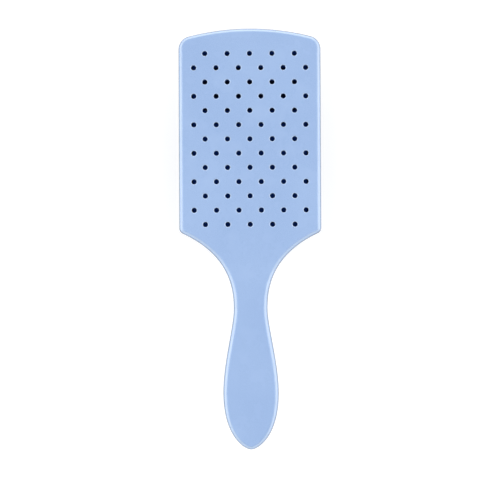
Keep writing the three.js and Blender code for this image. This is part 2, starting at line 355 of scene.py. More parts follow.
def copies(piece: bpy.types.Object, places: Sequence[Point]) -> list[bpy.types.Object]:
    """Copies a piece, each copy with its own mesh.

    Args:
        piece: The piece, modelled over the origin.
        places: Where each copy goes.

    Returns:
        The copies.
    """
    made = []
    for x, y in places:
        twin = piece.copy()
        twin.data = piece.data.copy()
        bpy.context.collection.objects.link(twin)
        twin.location = (x, y, 0.0)
        pick_up(twin)
        bpy.ops.object.transform_apply(location=True, rotation=False, scale=False)
        made.append(twin)
    return made


def repeated(name: str, piece: bpy.types.Object, places: Sequence[Point]) -> bpy.types.Object:
    """Joins a piece's copies into one, and puts the piece itself away.

    Args:
        name: The joined copies' name.
        piece: The piece, modelled over the origin.
        places: Where each copy goes.

    Returns:
        The joined copies.
    """
    whole = join(name, copies(piece, places))
    bpy.data.objects.remove(piece)
    return whole


def join(name: str, pieces: Sequence[bpy.types.Object]) -> bpy.types.Object:
    """Joins pieces into one.

    Args:
        name: The joined piece's name.
        pieces: What is joined.

    Returns:
        The joined piece.
    """
    whole = pick_up(pieces[0])
    for piece in pieces[1:]:
        piece.select_set(True)
    bpy.ops.object.join()
    whole.name = name
    whole.data.name = name
    return whole


def smooth(piece: bpy.types.Object, hardness: Hardness) -> None:
    """Shades a piece smooth up to an angle, with its flats staying flat.

    Args:
        piece: The piece.
        hardness: The steepest angle that still counts as round.
    """
    pick_up(piece)
    bpy.ops.object.shade_smooth_by_angle(angle=math.radians(hardness.value))
    apply_modifier(piece, "WEIGHTED_NORMAL", keep_sharp=True, weight=100)


# ---- Shader maths --------------------------------------------------------------------------


class Wire:
    """A socket that carries a number, and adds Math nodes where it is used in an expression."""

    def __init__(self, recipe: "Recipe", socket: bpy.types.NodeSocket) -> None:
        """Keeps the socket and the recipe that it belongs to."""
        self.recipe = recipe
        self.socket = socket

    def _with(self, operation: str, first: "Wire | float", second: "Wire | float") -> "Wire":
        """Adds one Math node."""
        node = self.recipe.node("ShaderNodeMath", {"operation": operation}, {0: first, 1: second})
        return Wire(self.recipe, node.outputs[0])

    def __add__(self, other: "Wire | float") -> "Wire":
        """Adds."""
        return self._with("ADD", self, other)

    __radd__ = __add__

    def __sub__(self, other: "Wire | float") -> "Wire":
        """Subtracts."""
        return self._with("SUBTRACT", self, other)

    def __rsub__(self, other: "Wire | float") -> "Wire":
        """Subtracts from a number."""
        return self._with("SUBTRACT", other, self)

    def __mul__(self, other: "Wire | float") -> "Wire":
        """Multiplies."""
        return self._with("MULTIPLY", self, other)

    __rmul__ = __mul__

    def __truediv__(self, other: "Wire | float") -> "Wire":
        """Divides."""
        return self._with("DIVIDE", self, other)

    def __pow__(self, other: "Wire | float") -> "Wire":
        """Raises to a power."""
        return self._with("POWER", self, other)

    def __abs__(self) -> "Wire":
        """Drops the sign."""
        return self._with("ABSOLUTE", self, 0.0)

    def or_more(self, other: "Wire | float") -> "Wire":
        """Gives the larger of two numbers."""
        return self._with("MAXIMUM", self, other)


Feed = Wire | bpy.types.NodeSocket | Colour | float  # what a socket can be given


class Recipe:
    """The nodes of a material or of the sky."""

    def __init__(self, tree: bpy.types.NodeTree) -> None:
        """Keeps the node tree that the nodes are added to."""
        self.tree = tree

    def node(self, kind: str, settings: dict[str, str], inputs: dict[int | str, Feed]) -> bpy.types.Node:
        """Adds a node.

        Args:
            kind: The node's type.
            settings: Its settings, which are set first.
            inputs: The values or links of its sockets, by name or place.

        Returns:
            The node.
        """
        made = self.tree.nodes.new(kind)
        for setting, value in settings.items():
            setattr(made, setting, value)
        for socket, value in inputs.items():
            self.feed(made.inputs[socket], value)
        return made

    def feed(self, socket: bpy.types.NodeSocket, value: Feed) -> None:
        """Links a wire or a socket to a socket, or sets its value.

        Args:
            socket: The socket that is fed.
            value: What it is given.
        """
        if isinstance(value, Wire):
            self.tree.links.new(value.socket, socket)
        elif isinstance(value, bpy.types.NodeSocket):
            self.tree.links.new(value, socket)
        else:
            socket.default_value = value

    def place(self) -> bpy.types.NodeSocket:
        """Gives a point's place on the object, in metres."""
        return self.node("ShaderNodeTexCoord", {}, {}).outputs["Object"]

    def facing_up(self) -> Wire:
        """Says how far a surface faces up: 1 for level, 0 for upright, -1 for a ceiling."""
        return self.part(self.node("ShaderNodeTexCoord", {}, {}).outputs["Normal"], "Z")

    def part(self, vector: bpy.types.NodeSocket, axis: str) -> Wire:
        """Gives a vector's share along X, Y or Z."""
        return Wire(self, self.node("ShaderNodeSeparateXYZ", {}, {"Vector": vector}).outputs[axis])

    def grain(self, size: float, detail: float, rough: float = 0.5) -> Wire:
        """Adds noise.

        Args:
            size: The noise's grain, in metres.
            detail: How many finer layers it has.
            rough: How strong they are.

        Returns:
            The noise, from 0 to 1.
        """
        noise = self.node(
            "ShaderNodeTexNoise",
            {"noise_dimensions": "3D"},
            {"Vector": self.place(), "Scale": 1.0 / size, "Detail": detail, "Roughness": rough},
        )
        return Wire(self, noise.outputs["Fac"])

    def ramp(self, amount: Wire, low: float, high: float) -> Wire:
        """Stretches a number so that low becomes 0 and high becomes 1, and clips it.

        Args:
            amount: The number.
            low: What becomes 0.
            high: What becomes 1.

        Returns:
            The stretched number.
        """
        stretched = self.node(
            "ShaderNodeMapRange",
            {"interpolation_type": "SMOOTHSTEP"},
            {"Value": amount, "From Min": low, "From Max": high},
        )
        return Wire(self, stretched.outputs["Result"])

    def blend(
        self, amount: Wire, first: Colour | bpy.types.NodeSocket, second: Colour | bpy.types.NodeSocket
    ) -> bpy.types.NodeSocket:
        """Mixes two colours.

        Args:
            amount: How much of the second, from 0 to 1.
            first: A colour, or a socket that carries one.
            second: The other.

        Returns:
            The mixed colour.
        """
        mixed = self.node("ShaderNodeMix", {"data_type": "RGBA"}, {"Factor": amount, 6: first, 7: second})
        return mixed.outputs[2]

    def bump(self, height: Wire, depth: float, strength: float) -> bpy.types.NodeSocket:
        """Gives a normal roughened by a height.

        Args:
            height: The height, from 0 to 1.
            depth: What 1 is, in metres.
            strength: How much of it shows.

        Returns:
            The normal.
        """
        made = self.node("ShaderNodeBump", {}, {"Height": height, "Distance": depth, "Strength": strength})
        return made.outputs["Normal"]


class Surface(Recipe):
    """The nodes of a material that holds one shader."""

    def __init__(self, name: str) -> None:
        """Starts the material.

        Args:
            name: The material's name.
        """
        self.material = bpy.data.materials.new(name)
        self.material.use_nodes = True
        super().__init__(self.material.node_tree)
        self.shader = next(n for n in self.tree.nodes if n.type == "BSDF_PRINCIPLED")

    def finish(self, fixed: dict[str, Feed], varying: dict[str, Feed]) -> bpy.types.Material:
        """Sets the shader's sockets.

        Args:
            fixed: What is the same all over.
            varying: What changes over the surface.

        Returns:
            The material.
        """
        for socket, value in {**fixed, **varying}.items():
            self.feed(self.shader.inputs[socket], value)
        return self.material


# ---- Finishes ------------------------------------------------------------------------------


@dataclass(frozen=True)
class GlossyShell:
    """Pale blue moulded plastic with a polished skin."""

    name: str = "glossy_pale_blue_plastic"
    colour: Colour = (0.392, 0.552, 0.860, 1.0)
    clouded: Colour = (0.372, 0.530, 0.840, 1.0)
    rubbed: Colour = (0.430, 0.590, 0.885, 1.0)
    # painted shade: the dark colour that the rim's steep part is darkened towards
    edge: Colour = (0.110, 0.135, 0.170, 1.0)
    # painted highlight: the pale colour that the rounded rim just inside is lightened towards
    thin: Colour = (0.760, 0.880, 0.980, 1.0)
    roughness: float = 0.26
    handled_roughness: float = 0.36
    coat: float = 0.8
    coat_roughness: float = 0.10
    cloud_size: float = 42 * MM
    skin_size: float = 1.3 * MM
    skin_depth: float = 0.012 * MM
    speck_size: float = 0.34 * MM
    ior: float = 1.55
    cloud_span: Span = (0.35, 0.65)
    patch_size: float = 16.8 * MM
    patch_span: Span = (0.52, 0.74)
    patch_strength: float = 0.35
    speck_dulling: float = 0.03
    speck_share: float = 0.2
    rim_shade_from: Span = (0.06, 0.22)  # how far the surface faces up where the painted shade line on the steep rim comes in
    rim_shade_to: Span = (0.50, 0.72)  # and where it goes out again
    rim_shade_strength: float = 0.8
    rim_highlight_from: Span = (0.72, 0.82)  # the same for the painted highlight band beside it
    rim_highlight_to: Span = (0.93, 0.985)
    rim_highlight_strength: float = 0.4

    def material(self) -> bpy.types.Material:
        """Mixes the colour's slow clouds, the handled patches and the skin's orange peel, and paints
        shade on the rim's steep part and a highlight band on the rounded rim just inside it.

        Returns:
            The material.
        """
        recipe = Surface(self.name)
        clouds = recipe.ramp(recipe.grain(self.cloud_size, detail=3.0), *self.cloud_span)
        handled = recipe.ramp(recipe.grain(self.patch_size, detail=5.0, rough=0.65), *self.patch_span)
        specks = recipe.grain(self.speck_size, detail=2.0)
        skin = recipe.grain(self.skin_size, detail=2.0)
        tinted = recipe.blend(clouds, self.colour, self.clouded)
        lived_in = recipe.blend(self.patch_strength * handled, tinted, self.rubbed)
        level = recipe.facing_up()
        # painted shade: a dark line where the rim turns steep, found from how far the surface faces up
        painted_rim_shade = recipe.ramp(level, *self.rim_shade_from) * (1 - recipe.ramp(level, *self.rim_shade_to))
        # painted highlight: a paler band on the rounded rim, found from how far the surface faces up
        paler = recipe.ramp(level, *self.rim_highlight_from) * (1 - recipe.ramp(level, *self.rim_highlight_to))
        rounded = recipe.blend(self.rim_highlight_strength * paler, lived_in, self.thin)
        colour = recipe.blend(self.rim_shade_strength * painted_rim_shade, rounded, self.edge)
        dulling = (self.handled_roughness - self.roughness) * handled
        relief = (1 - self.speck_share) * skin + self.speck_share * specks
        return recipe.finish(
            {"Coat Roughness": self.coat_roughness, "IOR": self.ior, "Coat Weight": self.coat},
            {
                "Base Color": colour,
                "Roughness": self.roughness + dulling + self.speck_dulling * specks,
                "Normal": recipe.bump(relief, self.skin_depth, strength=0.5),
            },
        )


@dataclass(frozen=True)
class MouldedRubber:
    """Dark navy rubber, matte, with the mould's fine grain and a little dust in it."""

    name: str = "matte_navy_rubber"
    colour: Colour = (0.013, 0.020, 0.046, 1.0)
    dusty: Colour = (0.030, 0.040, 0.072, 1.0)
    roughness: float = 0.58
    dust_size: float = 9 * MM
    grain_size: float = 0.5 * MM
    grain_depth: float = 0.05 * MM
    dust_span: Span = (0.45, 0.75)
    dust_dulling: float = 0.2
    grain_polish: float = 0.06
    ior: float = 1.5
    sheen: float = 0.08
    sheen_roughness: float = 0.4
    # painted glow: the faint blue that the pad's back emits, so that the vents look navy
    painted_glow_colour: Colour = (0.0006, 0.0065, 0.043, 1.0)
    nothing: Colour = (0.0, 0.0, 0.0, 1.0)
    painted_glow_up_span: Span = (0.5, 0.8)
    back_level: float = 18.2 * MM

    def material(self) -> bpy.types.Material:
        """Mixes the dust and the grain, and a painted glow: a faint blue emission on the pad's back, seen through
        the vents.

        Returns:
            The material.
        """
        recipe = Surface(self.name)
        dust = recipe.ramp(recipe.grain(self.dust_size, detail=5.0, rough=0.6), *self.dust_span)
        grain = recipe.grain(self.grain_size, detail=3.0, rough=0.6)
        # the painted glow is only on faces that look up, above the pad's back level
        painted_glow_facing_up = recipe.ramp(recipe.facing_up(), *self.painted_glow_up_span)
        behind = recipe.ramp(recipe.part(recipe.place(), "Z"), self.back_level, self.back_level + MM)
        recipe.material.cycles.emission_sampling = "NONE"
        return recipe.finish(
            {
                "IOR": self.ior,
                "Sheen Weight": self.sheen,
                "Sheen Roughness": self.sheen_roughness,
                "Emission Strength": 1.0,
            },
            {
                "Base Color": recipe.blend(dust, self.colour, self.dusty),
                "Emission Color": recipe.blend(painted_glow_facing_up * behind, self.nothing, self.painted_glow_colour),
                "Roughness": self.roughness + self.dust_dulling * dust - self.grain_polish * grain,
                "Normal": recipe.bump(grain, self.grain_depth, strength=0.6),
            },
        )


@dataclass(frozen=True)
class PinNylon:
    """Dark navy nylon: satin shafts, and smoother ball tips."""

    name: str = "satin_navy_nylon"
    colour: Colour = (0.020, 0.031, 0.070, 1.0)
    paler: Colour = (0.034, 0.050, 0.100, 1.0)
    shaft_roughness: float = 0.42
    tip_roughness: float = 0.22
    tip_level: float = 2.4 * MM
    draw_size: float = 0.6 * MM
    draw_depth: float = 0.02 * MM
    ior: float = 1.53

    def material(self) -> bpy.types.Material:
        """Mixes the shafts' drawn streaks with the tips' smoothness.

        Returns:
            The material.
        """
        recipe = Surface(self.name)
        shaft = recipe.ramp(recipe.part(recipe.place(), "Z"), self.tip_level, self.tip_level + MM)
        streaks = recipe.grain(self.draw_size, detail=3.0)
        return recipe.finish(
            {"IOR": self.ior},
            {
                "Base Color": recipe.blend(streaks * shaft, self.colour, self.paler),
                "Roughness": self.tip_roughness + (self.shaft_roughness - self.tip_roughness) * shaft,
                "Normal": recipe.bump(streaks * shaft, self.draw_depth, strength=0.4),
            },
        )


@dataclass(frozen=True)
class InnerPlastic:
    """Plain dark plastic inside the head, as it comes out of the mould."""

    name: str = "plain_dark_plastic"
    colour: Colour = (0.016, 0.022, 0.042, 1.0)
    greyed: Colour = (0.026, 0.033, 0.056, 1.0)
    roughness: float = 0.55
    flow_size: float = 14 * MM
    flow_span: Span = (0.4, 0.7)
    flow_dulling: float = 0.12
    grain_size: float = 0.4 * MM
    grain_depth: float = 0.03 * MM
    ior: float = 1.5

    def material(self) -> bpy.types.Material:
        """Mixes the flow marks and the mould's grain.

        Returns:
            The material.
        """
        recipe = Surface(self.name)
        flow = recipe.ramp(recipe.grain(self.flow_size, detail=4.0), *self.flow_span)
        grain = recipe.grain(self.grain_size, detail=2.0)
        return recipe.finish(
            {"IOR": self.ior},
            {
                "Base Color": recipe.blend(flow, self.colour, self.greyed),
                "Roughness": self.roughness + self.flow_dulling * flow,
                "Normal": recipe.bump(grain, self.grain_depth, strength=0.4),
            },
        )


@dataclass(frozen=True)
class FloorPaint:
    """The studio floor's matte white, lit a little from below as a light table is."""

    name: str = "white_floor"
    colour: Colour = (0.52, 0.52, 0.52, 1.0)
    scuffed: Colour = (0.50, 0.50, 0.50, 1.0)
    light: Colour = (1.0, 1.0, 1.0, 1.0)
    glow: float = 0.66
    roughness: float = 0.9
    gloss: float = 0.1
    patch_size: float = 300 * MM

    def material(self) -> bpy.types.Material:
        """Mixes two whites that hardly differ.

        Returns:
            The material.
        """
        recipe = Surface(self.name)
        patches = recipe.grain(self.patch_size, detail=2.0)
        return recipe.finish(
            {
                "Roughness": self.roughness,
                "Specular IOR Level": self.gloss,
                "Emission Color": self.light,
                "Emission Strength": self.glow,
            },
            {"Base Color": recipe.blend(patches, self.colour, self.scuffed)},
        )


def dress(piece: bpy.types.Object, material: bpy.types.Material) -> None:
    """Gives a piece one material all over."""
    piece.data.materials.clear()
    piece.data.materials.append(material)


# ---- The brush's plan ----------------------------------------------------------------------


def bezier(start: Point, leave: Point, arrive: Point, end: Point, steps: int) -> list[Point]:
    """Gives a cubic curve's points, without the last.

    Args:
        start: Where it starts.
        leave: The handle that it leaves along.
        arrive: The handle that it arrives along.
        end: Where it ends.
        steps: How many points.

    Returns:
        The points.
    """
    points = []
    for step in range(steps):
        t = step / steps
        shares = ((1 - t) ** 3, 3 * t * (1 - t) ** 2, 3 * t * t * (1 - t), t**3)
        corners = (start, leave, arrive, end)
        x, y = (sum(share * corner[i] for share, corner in zip(shares, corners)) for i in (0, 1))
        points.append((x, y))
    return points


def arc(centre: Point, radius: float, start: float, end: float, steps: int) -> list[Point]:
    """Gives an arc's points, without the last.

    Args:
        centre: Its centre.
        radius: Its radius.
        start: The angle that it starts at, in radians.
        end: The angle that it ends at.
        steps: How many points.

    Returns:
        The points.
    """
    angles = [start + (end - start) * step / steps for step in range(steps)]
    return [(centre[0] + radius * math.cos(a), centre[1] + radius * math.sin(a)) for a in angles]


def mirrored(right: Sequence[Point]) -> list[Point]:
    """Adds the left side to a right side that runs up from the middle line and ends on it."""
    left = [(-x, y) for x, y in reversed(right) if x > TOUCH]
    return [*right, *left]


def ease(amount: float) -> float:
    """Turns a straight run from 0 to 1 into a smooth one, and holds it outside."""
    held = min(1.0, max(0.0, amount))
    return held * held * (3 - 2 * held)


@dataclass(frozen=True)
class BrushPlan:
    """The outline that both shells share, and the levels of the head's layers."""

    half_head: float
    tip: float
    top: float
    seam: float
    back: float
    half_neck: float = 10.05 * MM
    half_grip: float = 16.5 * MM
    handle_length: float = 131.5 * MM
    neck_from_tip: float = 83.3 * MM
    grip_from_tip: float = 33.5 * MM
    neck_ease: float = 10.15 * MM
    grip_ease_up: float = 18 * MM
    grip_ease_down: float = 24.9 * MM
    tip_ease: float = 4.6 * MM
    shoulder_slope: float = math.radians(25)
    shoulder_reach: float = 0.97
    lower_corner: float = 3.5 * MM
    top_corner: float = 8 * MM
    top_radius: float = 146 * MM
    rim_width: float = 5.2 * MM
    window_lift: float = 1.5 * MM
    window_corner: float = 7 * MM
    tip_steps: int = 22
    grip_steps: int = 18
    neck_steps: int = 22
    small_corner_steps: int = 8
    corner_steps: int = 10
    arch_steps: int = 16
    side_steps: int = 24
    window_side_steps: int = 20
    window_foot_steps: int = 12

    @property
    def corner(self) -> float:
        """Where the head's straight sides end."""
        return self.tip + self.handle_length

    @property
    def neck(self) -> float:
        """Where the handle is narrowest."""
        return self.tip + self.neck_from_tip

    @property
    def grip(self) -> float:
        """Where the grip is widest."""
        return self.tip + self.grip_from_tip

    def crest(self, half_width: float, top: float, wide: float, corner: float) -> list[Point]:
        """Gives the right half of an arched top with rounded corners.

        Args:
            half_width: Half of the width below it.
            top: Its highest point.
            wide: The arch's radius.
            corner: The corners' radius.

        Returns:
            The points, from the side up to the middle line.
        """
        across = half_width - corner
        rise = math.sqrt((wide - corner) ** 2 - across**2)
        turn = math.atan2(rise, across)
        low = top - wide
        corner_points = arc((across, low + rise), corner, 0.0, turn, self.corner_steps)
        arch = arc((0.0, low), wide, turn, 0.5 * math.pi, self.arch_steps)
        return [*corner_points, *arch, (0.0, top)]

    def outline(self) -> list[Point]:
        """Gives the brush's outline, counter-clockwise from the tip.

        Returns:
            The points.
        """
        slope = self.shoulder_slope
        inner = self.half_head - self.lower_corner
        shoulder = (
            inner + self.lower_corner * math.sin(slope),
            self.corner - self.lower_corner * math.cos(slope),
        )
        reach = self.shoulder_reach * (shoulder[0] - self.half_neck)
        leave = (shoulder[0] - reach, shoulder[1] - reach * math.tan(slope))
        tip, grip, neck = (0.0, self.tip), (self.half_grip, self.grip), (self.half_neck, self.neck)
        corner_at, corner_start = (inner, self.corner), slope - 0.5 * math.pi
        below_grip = (grip[0], grip[1] - self.grip_ease_down)
        above_grip = (grip[0], grip[1] + self.grip_ease_up)
        below_neck = (neck[0], neck[1] - self.neck_ease)
        above_neck = (neck[0], neck[1] + self.neck_ease)
        right = [
            *bezier(tip, (self.tip_ease, tip[1]), below_grip, grip, self.tip_steps),
            *bezier(grip, above_grip, below_neck, neck, self.grip_steps),
            *bezier(neck, above_neck, leave, shoulder, self.neck_steps),
            *arc(corner_at, self.lower_corner, corner_start, 0.0, self.small_corner_steps),
            *self.straight_side(self.corner, self.side_steps),
            *self.crest(self.half_head, self.top, self.top_radius, self.top_corner),
        ]
        return mirrored(right)

    def straight_side(self, low: float, steps: int) -> list[Point]:
        """Gives the head's straight right side, without its upper end."""
        high = self.crest(self.half_head, self.top, self.top_radius, self.top_corner)[0][1]
        return [(self.half_head, low + (high - low) * step / steps) for step in range(steps)]

    def window(self, grow: float) -> list[Point]:
        """Gives the outline of the opening for the pad, or one that runs outside or inside it.

        Args:
            grow: How far outside the opening, negative for inside.

        Returns:
            The points, counter-clockwise from the middle of its lower side.
        """
        half_width = self.half_head - self.rim_width + grow
        low = self.corner + self.window_lift - grow
        radius = self.window_corner + grow
        wide = self.top_radius - self.rim_width + grow
        top = self.top - self.rim_width + grow
        crest = self.crest(half_width, top, wide, radius)
        foot_steps, side_steps = self.window_foot_steps, self.window_side_steps
        straight = crest[0][1] - low - radius
        right = [
            *[((half_width - radius) * step / foot_steps, low) for step in range(foot_steps)],
            *arc((half_width - radius, low + radius), radius, -0.5 * math.pi, 0.0, self.corner_steps),
            *[(half_width, low + radius + straight * step / side_steps) for step in range(side_steps)],
            *crest,
        ]
        return mirrored(right)

    def half_width(self, y: float, outline: Sequence[Point]) -> float:
        """Gives half of the brush's width at a place along it.

        Args:
            y: The place.
            outline: The brush's outline.

        Returns:
            The half width.
        """
        right = [point for point in outline if point[0] >= 0]
        for (x0, y0), (x1, y1) in zip(right, right[1:]):
            if y0 <= y <= y1 and y1 > y0:
                return x0 + (x1 - x0) * (y - y0) / (y1 - y0)
        return right[-1][0]


# ---- Sub-assemblies ------------------------------------------------------------------------


@dataclass
class VentedBack:
    """The back shell: the flat back with its rounded rim, and the vents through it."""

    plan: BrushPlan
    rim: float = 2.6 * MM
    rim_steps: int = 12
    wall: float = 2.4 * MM
    side_wall: float = 2 * MM
    seam_edge: float = 0.2 * MM
    vent_radius: float = 1.42 * MM
    vent_edge: float = 0.7 * MM
    vent_sides: int = 24
    vent_edge_steps: int = 4
    vent_rows: int = 13
    vents_in_long_row: int = 6
    side_margin: float = 9 * MM
    top_margin: float = 14.95 * MM
    low_margin: float = 2.2 * MM

    def vent_places(self) -> list[Point]:
        """Gives the vents' centres: staggered rows, five and six in turn.

        Returns:
            The centres.
        """
        half_field = self.plan.half_head - self.side_margin
        pitch = 2 * half_field / (self.vents_in_long_row - 1)
        low = self.plan.corner + self.low_margin
        step = (self.plan.top - self.top_margin - low) / (self.vent_rows - 1)
        places = []
        for row in range(self.vent_rows):
            count = self.vents_in_long_row - (row + 1) % 2
            start = -0.5 * pitch * (count - 1)
            places += [(start + pitch * index, low + step * row) for index in range(count)]
        return places

    def vent_tool(self) -> bpy.types.Object:
        """Models the tool that cuts one vent, flared so that it leaves a rounded rim.

        Returns:
            The tool, over the origin.
        """
        mouth = round_outline(0.0, 0.0, self.vent_radius + self.vent_edge, self.vent_sides)
        tool = Workpiece("vent_tool", mouth, self.plan.back + MM)
        tool.pull(-MM)
        tool.round_in(Turn.INTO, self.vent_edge, -self.vent_edge, self.vent_edge_steps)
        tool.pull(-self.wall - MM)
        return tool.done()

    def build(self) -> bpy.types.Object:
        """Models the shell.

        Returns:
            The finished piece.
        """
        plan = self.plan
        shell = Workpiece("vented_back", plan.outline(), plan.seam)
        shell.pull(plan.back - plan.seam)
        shell.pick_edges_at(plan.back)
        shell.round_off(self.rim, self.rim_steps)
        shell.pick_edges_at(plan.seam)
        shell.round_off(self.seam_edge, 1)
        shell.pick_faces_at(plan.seam)
        shell.narrow(self.side_wall - self.seam_edge)
        shell.pull(plan.back - self.wall - plan.seam)
        back = shell.done()
        carve(back, repeated("vent_tools", self.vent_tool(), self.vent_places()))
        smooth(back, Hardness.CRISP)
        return back


@dataclass
class FrontFrame:
    """The front shell: the head's front with the opening for the pad, and the grip's rounded front."""

    plan: BrushPlan
    front: float
    grip_front: float
    lip: float = 1.5 * MM
    rim: float = 3 * MM
    neck_depth: float = 6 * MM
    side_wall: float = 2 * MM
    handle_wall: float = 2.4 * MM
    seam_edge: float = 0.2 * MM
    low_wall: float = 1.4 * MM
    window_edge: float = 0.6 * MM
    solid_tip: float = 14 * MM
    thinnest: float = 0.5 * MM
    cavity_edge: float = 0.5 * MM
    tip_fullness: float = 2.2  # 2 rounds the tip as an ellipse, more makes it blunter
    oval_fullness: float = 2.6  # the same for the handle's section
    oval_fade: float = 0.62  # the share of the shoulder over which the section turns flat
    rim_steps: int = 8
    window_edge_steps: int = 4
    cuts_along: int = 60
    cuts_beside: int = 7
    cut_pitch: float = 2 * MM

    def depth_at(self, y: float) -> float:
        """Gives how deep the front is below the seam, along its middle.

        Args:
            y: The place along the brush.

        Returns:
            The depth.
        """
        plan = self.plan
        head, grip = plan.seam - self.front, plan.seam - self.grip_front
        if y > plan.neck:
            risen = ease((y - plan.neck) / (plan.corner - plan.neck))
            return self.neck_depth + (head - self.neck_depth) * risen
        if y > plan.grip:
            risen = ease((y - plan.grip) / (plan.neck - plan.grip))
            return grip + (self.neck_depth - grip) * risen
        fall = (plan.grip - y) / (plan.grip - plan.tip)
        return self.low_wall + (grip - self.low_wall) * math.sqrt(max(0.0, 1 - fall**self.tip_fullness))

    def level_at(self, point: Vector, inset: float, wall: float, outline: Sequence[Point]) -> float:
        """Gives a point of the plain slab its height on the shaped front.

        Args:
            point: Its place on the slab.
            inset: How far the slab runs inside the brush's outline.
            wall: How far it stays above the front's face in the handle.
            outline: The brush's outline.

        Returns:
            Its height.
        """
        plan = self.plan
        slab = plan.seam - point.z
        if slab < MM:
            return point.z
        handle = ease((plan.corner - self.rim - point.y) / (self.oval_fade * (plan.corner - plan.neck)))
        half = max(TOUCH, plan.half_width(point.y, outline) - inset)
        across = min(1.0, abs(point.x) / half)
        depth = self.depth_at(point.y)
        low_wall = min(self.low_wall, depth)
        oval = low_wall + (depth - low_wall) * math.sqrt(1 - across**self.oval_fullness)
        flat = slab * depth / (plan.seam - self.front)
        return plan.seam - (flat + (max(oval - wall, self.thinnest) - flat) * handle)

    def slab(
        self, name: str, inset: float, depth: float, wall: float, rim: float, seam_edge: float = 0.0
    ) -> Workpiece:
        """Models a slab below the seam and shapes its handle end.

        Args:
            name: The slab's name.
            inset: How far it runs inside the brush's outline.
            depth: How deep it is in the head.
            wall: How far it stays above the front's face in the handle.
            rim: Its lower rim's rounding.
            seam_edge: The narrow bevel along its edge at the seam.

        Returns:
            The slab, in edit mode.
        """
        plan = self.plan
        outline = plan.outline()
        work = Workpiece(name, outline, plan.seam)
        if inset:
            work.trim(inset)
        work.pull(-depth)
        face_level = plan.seam - depth
        work.pick_edges_at(face_level)
        work.round_off(rim, self.rim_steps)
        if seam_edge:
            work.pick_edges_at(plan.seam)
            work.round_off(seam_edge, 1)
        work.pick_all()
        work.split(Vector((0.0, plan.corner, 0.0)), ALONG)
        for step in range(1, self.cuts_along):
            turn = 0.5 * math.pi * step / self.cuts_along
            work.pick_faces(lambda centre, _: centre.y < plan.corner)
            work.split(Vector((0.0, plan.tip + plan.handle_length * (1 - math.cos(turn)), 0.0)), ALONG)
        for step in range(-self.cuts_beside, self.cuts_beside + 1):
            work.pick_faces(lambda centre, _: centre.y < plan.corner and centre.z < face_level + TOUCH)
            work.split(Vector((self.cut_pitch * step, 0.0, 0.0)), ACROSS)
        work.reshape(lambda point: self.level_at(point, inset, wall, outline))
        return work

    def window_tool(self) -> bpy.types.Object:
        """Models the tool that cuts the opening for the pad, flared so that it rounds the lip.

        Returns:
            The tool.
        """
        tool = Workpiece("window_tool", self.plan.window(self.window_edge), self.front - MM)
        tool.pull(MM)
        tool.round_in(Turn.INTO, self.window_edge, self.window_edge, self.window_edge_steps)
        tool.pull(self.lip)
        return tool.done()

    def cavity_tool(self) -> bpy.types.Object:
        """Models the tool that hollows the front from the seam.

        Returns:
            The tool.
        """
        plan = self.plan
        hollow = plan.seam - self.front - self.lip
        work = self.slab("cavity_tool", self.side_wall, hollow, self.handle_wall, self.cavity_edge)
        work.pick_faces_at(plan.seam)
        work.pull(MM)
        work.pick_all()
        work.split(Vector((0.0, plan.tip + self.solid_tip, 0.0)), ALONG, cut_off=True)
        return work.done()

    def build(self) -> bpy.types.Object:
        """Models the shell.

        Returns:
            The finished piece.
        """
        plan = self.plan
        depth = plan.seam - self.front
        front = self.slab("front_frame", 0.0, depth, 0.0, self.rim, self.seam_edge).done()
        carve(front, self.cavity_tool())
        carve(front, self.window_tool())
        smooth(front, Hardness.CRISP)
        return front


